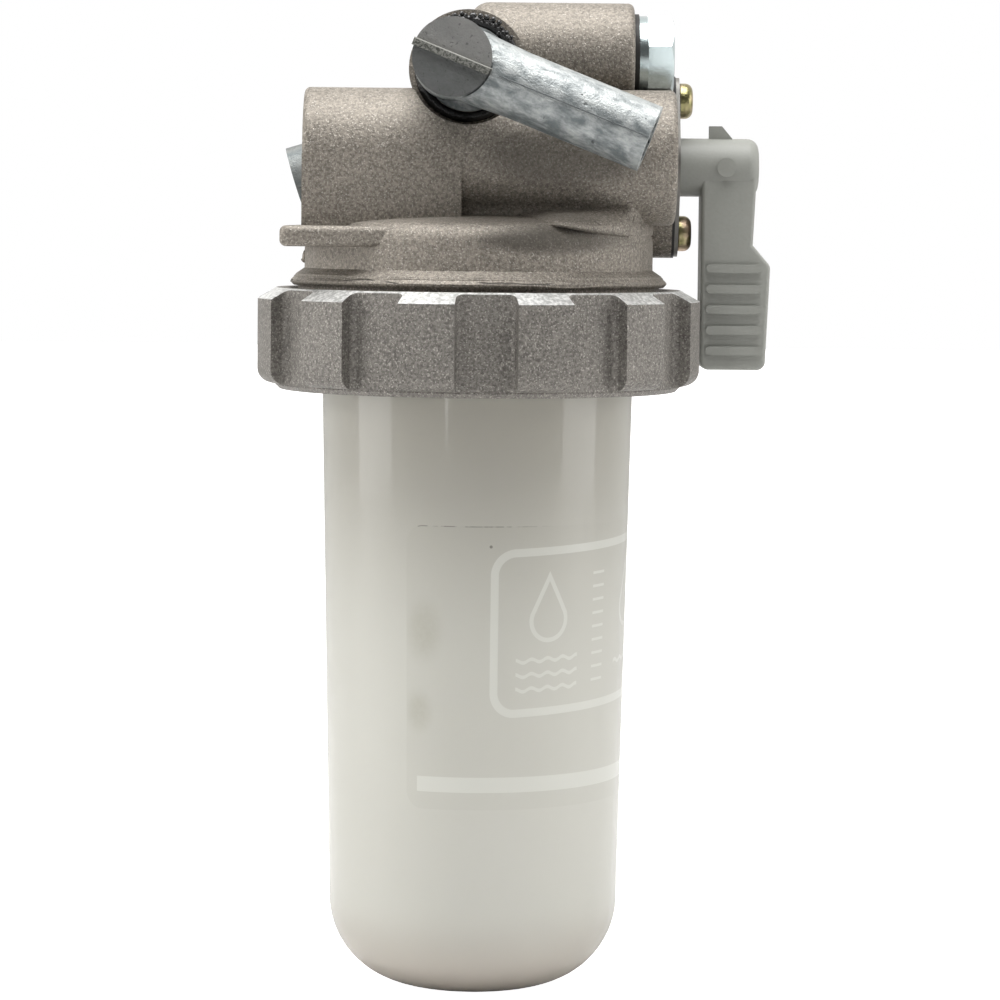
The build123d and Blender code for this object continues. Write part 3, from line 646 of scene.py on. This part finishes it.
head_skin, colour, gloss, height = cast_skin(
    "blasted_head", tint(92, 87, 80), tint(152, 145, 135), 0.5,
)
x, y, z = head_skin.axes()
sway = head_skin.noise(90, 2, 0.5, stretch=FLATTEN) * LAP_SWAY
run_out = head_skin.fade(head_skin.noise(60, 2, 0.5, stretch=FLATTEN), 0.5, 0.58)
laps = head_skin.fade(abs(z - LAP_LEVEL - sway), 0.00022, 0.00006) * run_out
laps = laps * head_skin.fade(abs(z - BEAD_LEVEL), *LAP_ZONE)
# A darker cloud of painted shade on the front of the bell and the housing, broken by noise.
bell_shade = head_skin.fade(oval(x - 0.0150, z - 0.1703, 0.0200, 0.0038), 1.0, 0.1)
housing_shade = head_skin.fade(oval(x - 0.0190, z - 0.1890, 0.0230, 0.0085), 1.0, 0.1)
on_front = head_skin.fade(y, -0.010, -0.018)
painted_shade = (bell_shade * 1.25).most(housing_shade) * on_front
painted_shade = painted_shade * (0.5 + head_skin.noise(55, 3, 0.6))
colour = head_skin.mix(painted_shade * 0.62, colour, tint(66, 62, 56))
head_skin.set(
    Base_Color=head_skin.mix(laps * 0.8, colour, tint(44, 41, 37)),
    Roughness=gloss,
    Normal=head_skin.bump(height - laps * 1.5, GRAIN_RELIEF, 0.7),
)
put_on(head_skin, "head_casting")
coat(head_skin, skirt_thread, *head_traces)

# %% [markdown]
# ## Ring nut
# The nut is cast too, but a tool has turned a bright cone across the tops of its
# lugs. The cone is found by its place: how far a point lies from the line that the
# tool followed.

# %% The ring nut's finish
CONE_LOW, CONE_TOP = 0.1565, 0.1589
CONE_OUT, CONE_IN = 0.0506, 0.0462

ring_skin, colour, gloss, height = cast_skin(
    "blasted_ring", tint(80, 77, 73), tint(136, 132, 126), 0.48,
)
x, y, z = ring_skin.axes()
radius = (x * x + y * y) ** 0.5
slope = (CONE_OUT - CONE_IN) / (CONE_TOP - CONE_LOW)
off_cone = abs(radius - CONE_OUT + (z - CONE_LOW) * slope)
turned = ring_skin.fade(off_cone, 0.00025, 0.00012)
turned = turned * ring_skin.fade(z, CONE_LOW - 0.0001, CONE_LOW)
tool_marks = ring_skin.noise(1400, 2, 0.5, stretch=(1, 1, 0.02))
grooves = ring_skin.fade(tool_marks, 0.3, 0.7)
bright = ring_skin.mix(grooves, tint(168, 168, 166), tint(226, 226, 224))
ring_skin.set(
    Base_Color=ring_skin.mix(turned, colour, bright),
    Roughness=gloss * (1 - turned) + turned * (0.3 + tool_marks * 0.15),
    Normal=ring_skin.bump(height * (1 - turned) + tool_marks * turned * 0.1, GRAIN_RELIEF, 0.7),
)
put_on(ring_skin, "ring_nut")
coat(ring_skin, ring_thread)

# %% [markdown]
# ## Elbows, plug and screws
# The elbows are bare castings, bluish and mottled. Each one's pattern is laid out
# along its own pipe, so the mottles can be drawn out lengthwise, while the flat pad
# is smoother and the rib keeps its grain. Light and shade are painted on them as
# well: the pipe's upper side is lighter, the pad is darker with painted light above
# its middle and painted shade below, the rib has a painted highlight on its upper
# edge, and a painted shadow runs round the pad's rim and along the seam. The plug is
# bright zinc, and the screws are zinc that was dipped yellow, so their colour wanders
# between olive and a pinkish straw.

# %% An elbow's own coordinates
# The pad's height over the seat, how far its middle lies behind the seat's, its radius.
PAD_RISE, PAD_OFFSET, PAD_RADIUS = 0.0285, 0.0037, 0.0087


def lay_along_pipe(finish, seat, outward, slope):
    """Turns a finish's pattern: down the pipe, across it, and out of the seat."""
    x, y, z = finish.axes()
    dip = radians(slope)
    run = (x - seat[0]) * (-outward * cos(dip)) - (z - seat[2]) * sin(dip)
    across = (x - seat[0]) * (-outward * sin(dip)) + (z - seat[2]) * cos(dip)
    out = (y - seat[1]) * outward
    finish.place = finish.node("ShaderNodeCombineXYZ", {}, {0: run, 1: across, 2: out})
    return run, across, out


# %% Tones of the pad and the rib
def pad_tone(finish, blotch, across):
    """Smooth metal painted darker, with painted light above its middle, painted shade below, and
    dark specks.
    """
    lit = finish.mix(blotch, tint(110, 111, 110), tint(140, 139, 136))
    shaded = finish.mix(blotch, tint(80, 82, 80), tint(106, 107, 107))
    flat = finish.mix(finish.fade(across, -0.001, 0.001), shaded, lit)
    specks = finish.fade(finish.noise(950, 3, 0.6), 0.60, 0.70)
    return finish.mix(specks * 0.55, flat, tint(58, 60, 58))


def rib_tone(finish, grain, across):
    """Grained metal with a painted highlight along its upper edge."""
    rough = finish.mix(finish.fade(grain, 0.38, 0.62), tint(74, 75, 71), tint(126, 126, 121))
    return finish.mix(finish.fade(across, 0.0005, 0.0008), rough, tint(196, 196, 190))


# %% Mottled elbows
def elbow_finish(name, wear_and_light_tint, place):
    """Bare die casting, laid out along one elbow's own pipe."""
    finish = Finish(name, Metallic=0.75)
    run, across, out = lay_along_pipe(finish, *place)
    blotch = finish.noise(250, 5, 0.7, stretch=(0.75, 1, 1), warp=0.3)
    drag = finish.noise(620, 3, 0.6, stretch=(0.35, 1, 1))
    grain = finish.noise(2400, 2, 0.6)
    pits = finish.fade(finish.noise(520, 2, 0.5), 0.70, 0.78)
    # The pipe's upper side is painted lighter, as painted light from above, on top of the real
    # mottles and wear.
    wear_and_top_light = finish.fade(blotch * 0.6 + drag * 0.4 + across * 6, 0.34, 0.64)
    pipe = finish.mix(wear_and_top_light * 0.8 + grain * 0.2, tint(92, 99, 101), wear_and_light_tint)

    from_middle = ((run + PAD_OFFSET) ** 2 + across ** 2) ** 0.5
    near = finish.fade(from_middle, PAD_RADIUS + 0.0006, PAD_RADIUS + 0.0004)
    on_pad = finish.fade(out, PAD_RISE - 0.00025, PAD_RISE - 0.00010) * near
    on_rib = finish.fade(out, PAD_RISE + 0.00005, PAD_RISE + 0.00015) * near
    # A painted shadow runs round the pad's rim, stronger on its lower side.
    crease_shade = finish.fade(abs(from_middle - PAD_RADIUS - 0.00015), 0.0003, 0.0001)
    crease_shade = crease_shade * finish.fade(run, 0.001, 0.003) * finish.fade(blotch + across * 20, 0.62, 0.42)
    colour = finish.mix(on_pad, pipe, pad_tone(finish, blotch, across))
    colour = finish.mix(on_rib, colour, rib_tone(finish, grain, across))
    colour = finish.mix(crease_shade.most(pits * 0.6), colour, tint(40, 42, 42))
    finish.set(
        Base_Color=colour,
        Roughness=0.56 - wear_and_top_light * 0.08 + on_pad * 0.08 + grain * 0.1,
        Normal=finish.bump(blotch + drag * 0.6 + grain * 0.7 - pits * 0.8, 0.0003, 0.7),
    )
    return finish


for name, wear_and_light_tint, place in (("inlet_elbow", tint(178, 181, 180), inlet_place),
                               ("outlet_elbow", tint(128, 130, 128), outlet_place)):
    put_on(elbow_finish("mottled_" + name, wear_and_light_tint, place), name)

# %% Seams on the pipes
# The seam's fin is painted dark: a painted shadow along the parting line, over grained metal.
seam_shade_skin = Finish("parting_seam_shade", Metallic=0.6, Roughness=0.5)
seam_grain = seam_shade_skin.noise(900, 2, 0.6)
seam_shade_skin.set(Base_Color=seam_shade_skin.mix(seam_grain, tint(62, 66, 68), tint(120, 124, 124)))
coat(seam_shade_skin, inlet_ridge, outlet_ridge)

# %% Plug, screws and plate
plug_skin = Finish("bright_zinc", Metallic=1.0)
haze = plug_skin.noise(120, 3, 0.6)
plug_skin.set(
    Base_Color=plug_skin.mix(haze, tint(168, 184, 186), tint(214, 222, 223)),
    Roughness=0.16 + haze * 0.16,
    Normal=plug_skin.bump(plug_skin.noise(700, 2), 0.00008, 0.4),
)
put_on(plug_skin, "gallery_plug")

screw_skin = Finish("yellow_zinc", Metallic=1.0)
wander = screw_skin.fade(screw_skin.noise(230, 2, 0.5), 0.35, 0.65)
straw = screw_skin.mix(wander, tint(134, 130, 92), tint(190, 168, 146))
screw_skin.set(Base_Color=straw, Roughness=0.28 + wander * 0.2,
               Normal=screw_skin.bump(screw_skin.noise(900, 3, 0.6), 0.0002, 0.8))
put_on(screw_skin, "plate_screws")

plate_skin = Finish("dull_plate", Metallic=0.9)
streak = plate_skin.noise(400, 3, 0.6)
plate_skin.set(Base_Color=plate_skin.mix(streak, tint(88, 87, 84), tint(140, 138, 134)),
               Roughness=0.4 + streak * 0.2)
put_on(plate_skin, "retaining_plate")

# %% [markdown]
# ## Rubber, compound and moulded grey
# Black parts are never plain black: dust lifts them a little and their gloss
# changes. The lever is filled plastic with a faint flow pattern.

# %% Dark and grey parts
rubber_skin = Finish("black_rubber", Specular_IOR_Level=0.4)
dust = rubber_skin.noise(500, 3, 0.6)
rubber_skin.set(Base_Color=rubber_skin.mix(dust, tint(14, 14, 14), tint(44, 43, 41)),
                Roughness=0.45 + dust * 0.3,
                Normal=rubber_skin.bump(dust, 0.0001, 0.4))
put_on(rubber_skin, "cup_gasket", "plug_washer", "cock_gasket", "spool_seals", "element_seal")

compound_skin = Finish("sealing_compound", Specular_IOR_Level=0.6)
wet = compound_skin.noise(420, 3, 0.6)
grit = compound_skin.noise(1500, 2, 0.6)
compound_skin.set(Base_Color=compound_skin.mix(wet, tint(8, 8, 10), tint(40, 39, 38)),
                  Roughness=0.08 + wet * 0.25,
                  Normal=compound_skin.bump(wet + grit * 0.5, 0.0004, 0.8))
coat(compound_skin, inlet_compound, outlet_compound)

lever_skin = Finish("grey_nylon", Specular_IOR_Level=0.45)
flow = lever_skin.noise(55, 3, 0.55, stretch=(1, 1, 0.35), warp=0.4)
pores = lever_skin.noise(1300, 2, 0.5)
lever_skin.set(
    Base_Color=lever_skin.mix(flow * 0.7 + pores * 0.3, tint(120, 121, 116), tint(146, 147, 141)),
    Roughness=0.46 + pores * 0.14,
    Normal=lever_skin.bump(pores, 0.00006, 0.5),
)
put_on(lever_skin, "lever")

# %% Parts inside
brass_skin = Finish("turned_brass", Metallic=1.0)
cuts = brass_skin.noise(2500, 1, 0.4, stretch=(1, 0.02, 0.02))
brass_skin.set(Base_Color=brass_skin.mix(cuts, tint(176, 148, 84), tint(214, 190, 120)),
               Roughness=0.25 + cuts * 0.2)
put_on(brass_skin, "cock_spool")

tin_skin = Finish("tinned_steel", Metallic=1.0)
spangle = tin_skin.noise(180, 3, 0.6, warp=1.0)
tin_skin.set(Base_Color=tin_skin.mix(spangle, tint(150, 150, 146), tint(196, 196, 192)),
             Roughness=0.3 + spangle * 0.2)
put_on(tin_skin, "element_top_cap", "element_bottom_cap", "element_core", "centre_tube")

paper_skin = Finish("filter_paper", Roughness=0.85, Specular_IOR_Level=0.2)
fibre = paper_skin.noise(2200, 4, 0.7, stretch=(1, 1, 0.3))
paper_skin.set(Base_Color=paper_skin.mix(fibre, tint(168, 146, 104), tint(206, 188, 146)),
               Normal=paper_skin.bump(fibre, 0.0002, 0.6))
put_on(paper_skin, "filter_media")

float_skin = Finish("float_plastic", Specular_IOR_Level=0.4)
mould = float_skin.noise(300, 3, 0.5)
float_skin.set(Base_Color=float_skin.mix(mould, tint(196, 188, 168), tint(216, 210, 192)),
               Roughness=0.45 + mould * 0.15)
put_on(float_skin, "float_ring")

# %% [markdown]
# ## Milky cup
# The cup is blown from natural plastic. Light goes some way into it, so it needs
# depth as well as colour: part of the light passes through, and the filter element
# shows as a soft grey shade. The upper half carries a painted shade of the element
# as well, lighter towards the cup's sides.
# The print is thin white ink on a clear film: a frame with two drops over waves and
# a scale between them, and a level bar below. It is drawn by distance: the angle
# round the cup times its radius runs along it, and the height runs up it.

# %% Shapes drawn by distance
CUP_RADIUS = 0.0348
INK_EDGE = 0.00006


def rounded_box(u, v, left, right, low, high, corner):
    """Distance to a rounded rectangle, in metres, negative inside."""
    across = abs(u - (left + right) / 2) - ((right - left) / 2 - corner)
    upward = abs(v - (low + high) / 2) - ((high - low) / 2 - corner)
    outside = (across.most(0) ** 2 + upward.most(0) ** 2) ** 0.5
    return outside + across.most(upward).least(0) - corner


def spot(u, v, wide, tall):
    """0 in the middle of an oval, 1 at its rim, growing evenly."""
    return oval(u, v, wide, tall) ** 0.5


def filled(finish, distance):
    """Ink all over a shape."""
    return finish.fade(distance, INK_EDGE, -INK_EDGE)


def outline(finish, distance, width):
    """Ink along a shape's edge."""
    return finish.fade(abs(distance) - width / 2, INK_EDGE, -INK_EDGE)


# %% The cup's own coordinates
PRINT_TILT = 0.04

cup_skin = Finish(
    "milky_plastic", Transmission_Weight=0.36, IOR=1.5, Coat_Weight=0.5, Coat_Roughness=0.07,
)
x, y, z = cup_skin.axes()
around = x.maths("ARCTAN2", x, -1 * y) * CUP_RADIUS
level = z - around * PRINT_TILT

# %% Drops, waves and marks
DROP_CENTRE, DROP_RADIUS, DROP_TIP = 0.0857, 0.0044, 0.0098
WAVE_REACH, WAVE_STEP, WAVE_SWING, WAVE_HALF = 0.0080, 0.0040, 0.00035, 0.0004
MARK_STEP, MARK_HALF, MARK_MARGIN = 0.0030, 0.0003, 0.0004


def drop(middle):
    """Distance to a falling drop: a round with straight flanks up to its tip."""
    lean = DROP_RADIUS / DROP_TIP
    reach, rise = abs(around - middle), level - DROP_CENTRE
    ball = (reach ** 2 + rise ** 2) ** 0.5 - DROP_RADIUS
    flank = reach * (1 - lean ** 2) ** 0.5 + rise * lean - DROP_RADIUS
    return ball.least(flank.most(DROP_RADIUS * lean - rise))


def waves(middle, height):
    """Distance to a wavy line under a drop."""
    turn = around * (2 * pi / WAVE_STEP)
    line = abs(level - height - turn.maths("SINE", turn) * WAVE_SWING) - WAVE_HALF
    left, right = middle - WAVE_REACH, middle + WAVE_REACH
    return line.most(left - around).most(around - right)


def scale_marks(left, right, low, high):
    """Distance to short level marks, one above the other."""
    up = level - low
    nearest = up.maths("PINGPONG", up, MARK_STEP / 2) - MARK_HALF
    sides = (left - around).most(around - right)
    ends = (low - MARK_MARGIN - level).most(level - high - MARK_MARGIN)
    return nearest.most(sides.most(ends))


# %% Print in thin white ink
# Each box: its left and right side round the cup, its foot, its top, and its corner's round.
FRAME_BOX, FRAME_WIDTH = (0.0042, 0.064, 0.0655, 0.1011, 0.0048), 0.0018
BAR_BOX = (-0.0134, 0.0620, 0.0483, 0.0517, 0.0002)
DROP_WIDTH = 0.0010
# Each drop: its middle round the cup, and the heights of the waves under it.
DROPS = ((0.0172, (0.0770, 0.0738, 0.0706)), (0.0480, (0.0738,)))

ink = outline(cup_skin, rounded_box(around, level, *FRAME_BOX), FRAME_WIDTH)
ink = ink.most(filled(cup_skin, rounded_box(around, z, *BAR_BOX)))
ink = ink.most(filled(cup_skin, scale_marks(0.0300, 0.0342, 0.0710, 0.0950)))
for middle, heights in DROPS:
    ink = ink.most(outline(cup_skin, drop(middle), DROP_WIDTH))
    for height in heights:
        ink = ink.most(filled(cup_skin, waves(middle, height)))
print("print nodes:", len(cup_skin.tree.nodes))

# %% Film and dirt
FILM_BOX, FILM_RIM = (-0.0160, 0.066, 0.0445, 0.1073, 0.004), 0.0002
# Each smudge: its middle round the cup and up it, half its width and half its height.
SMUDGES = ((-0.0118, 0.0840, 0.0056, 0.0090), (-0.0130, 0.0662, 0.0044, 0.0062))

film_edge = rounded_box(around, z, *FILM_BOX)
film = filled(cup_skin, film_edge)
breaks = cup_skin.fade(cup_skin.noise(420, 2, 0.5), 0.42, 0.56)
torn = outline(cup_skin, film_edge, FILM_RIM) * cup_skin.fade(z, 0.1068, 0.1071)
torn = torn * breaks * cup_skin.fade(around, 0.020, 0.002)
speck = filled(cup_skin, spot(around - 0.0033, z - 0.1029, 1, 1) - 0.00035)
mottling = cup_skin.noise(900, 3, 0.7)
upper, lower = (
    cup_skin.fade(spot(around - middle, z - height, wide, tall), 1.0, 0.2)
    for middle, height, wide, tall in SMUDGES
)
smudges = upper.most(lower) * film * (0.35 + mottling)

# %% The colour of the plastic
veil = cup_skin.noise(22, 3, 0.6, stretch=(1, 1, 0.25))
cloud = cup_skin.noise(75, 4, 0.6)
foot = cup_skin.fade(z, 0.024, 0.001)
# Painted shade of the filter element over the upper half, lighter towards the cup's sides.
element_shade = cup_skin.fade(z, 0.074, 0.134) * (1 - 0.5 * cup_skin.fade(abs(around), 0.030, 0.046))
body_colour = cup_skin.mix(veil, tint(200, 199, 189), tint(216, 215, 207))
for amount, over in (
    (element_shade * 0.68, tint(158, 153, 140)),
    (film * 0.10, tint(166, 164, 150)),
    (smudges * 0.26, tint(140, 137, 106)),
    (foot * 0.5, tint(184, 166, 150)),
    (ink * 0.5, tint(236, 237, 230)),
    (torn.most(speck) * 0.75, tint(84, 80, 70)),
):
    body_colour = cup_skin.mix(amount, body_colour, over)
cup_skin.set(
    Base_Color=body_colour,
    Roughness=0.42 + cloud * 0.16 - film * 0.04,
    Normal=cup_skin.bump(cloud * 0.4 + film * 0.1 + ink * 0.05, 0.0002, 0.5),
)
put_on(cup_skin, "cup")

# %% [markdown]
# ## Stage and light
# A pale floor keeps the soft shadow. The light comes from broad boxes: one over
# the top, a tall narrow one that draws the long highlight down the cup, and two
# weak fills. The world gives the rest. It is pure white to the camera and through
# the cup, while bright metal sees it white behind and dim in front.

# %% Floor
floor = add_primitive("plane", "floor", size=8)
floor_skin = Finish("pale_floor", Roughness=0.9, Specular_IOR_Level=0.1, Emission_Strength=1.0)
to_camera = floor_skin.node("ShaderNodeLightPath", {}, {}, "Is Camera Ray")
floor_skin.set(Base_Color=(0.82, 0.82, 0.82),
               Emission_Color=floor_skin.mix(to_camera, (0.0, 0.0, 0.0), (1.0, 1.0, 1.0)))
coat(floor_skin, floor)

# %% World
WARM_WHITE, PURE_WHITE = (1.0, 0.985, 0.96), (1.0, 1.0, 1.0)
GLOSS_GAIN = 0.33

world = bpy.data.worlds.new("studio")
world.use_nodes = True
bpy.context.scene.world = world
studio = Bench(world.node_tree)
way = studio.node("ShaderNodeTexCoord", {}, {}, "Generated")
dim_front = studio.node(
    "ShaderNodeMapRange", {"interpolation_type": "SMOOTHSTEP"},
    {"Value": studio.node("ShaderNodeSeparateXYZ", {}, {0: way}, "Y"),
     "From Min": -0.8, "From Max": 0.15, "To Min": 0.08, "To Max": 0.75},
)
seen, through, glossy = (
    studio.node("ShaderNodeLightPath", {}, {}, f"Is {kind} Ray")
    for kind in ("Camera", "Transmission", "Glossy")
)
soft = studio.tree.nodes["Background"]
studio.feed(soft.inputs["Color"], WARM_WHITE)
studio.feed(soft.inputs["Strength"], dim_front * (glossy * GLOSS_GAIN + 1.0))
white = studio.node("ShaderNodeBackground", {}, {"Color": PURE_WHITE})
chosen = studio.node(
    "ShaderNodeMixShader", {},
    {0: seen + through, 1: Level(studio, soft.outputs[0]), 2: white},
)
studio.feed(studio.tree.nodes["World Output"].inputs["Surface"], chosen)
print("world nodes:", len(studio.tree.nodes))


# %% Lamps
def softbox(name, place, aim, wide, tall, watts):
    """A rectangular lamp at a place, turned towards a point."""
    lamp = bpy.data.lights.new(name, "AREA")
    lamp.shape = "RECTANGLE"
    lamp.size, lamp.size_y, lamp.energy = wide, tall, watts
    box = bpy.data.objects.new(name, lamp)
    bpy.context.scene.collection.objects.link(box)
    direction = Vector(aim) - Vector(place)
    turn = direction.to_track_quat("-Z", "Y").to_matrix().to_4x4()
    box.matrix_world = Matrix.Translation(Vector(place)) @ turn
    print(name, "of", watts, "W at", place)


softbox("top_box", (-0.05, -0.15, 0.95), (0, 0, 0.12), wide=0.8, tall=0.6, watts=13.0)
softbox("left_strip", (-0.47, -1.15, 0.30), (0, 0, 0.10), wide=0.035, tall=1.2, watts=1.1)
softbox("right_fill", (1.0, -0.15, 0.3), (0, 0, 0.12), wide=0.6, tall=0.9, watts=4.4)
softbox("left_fill", (-1.0, -0.15, 0.3), (0, 0, 0.12), wide=0.6, tall=0.9, watts=5.5)
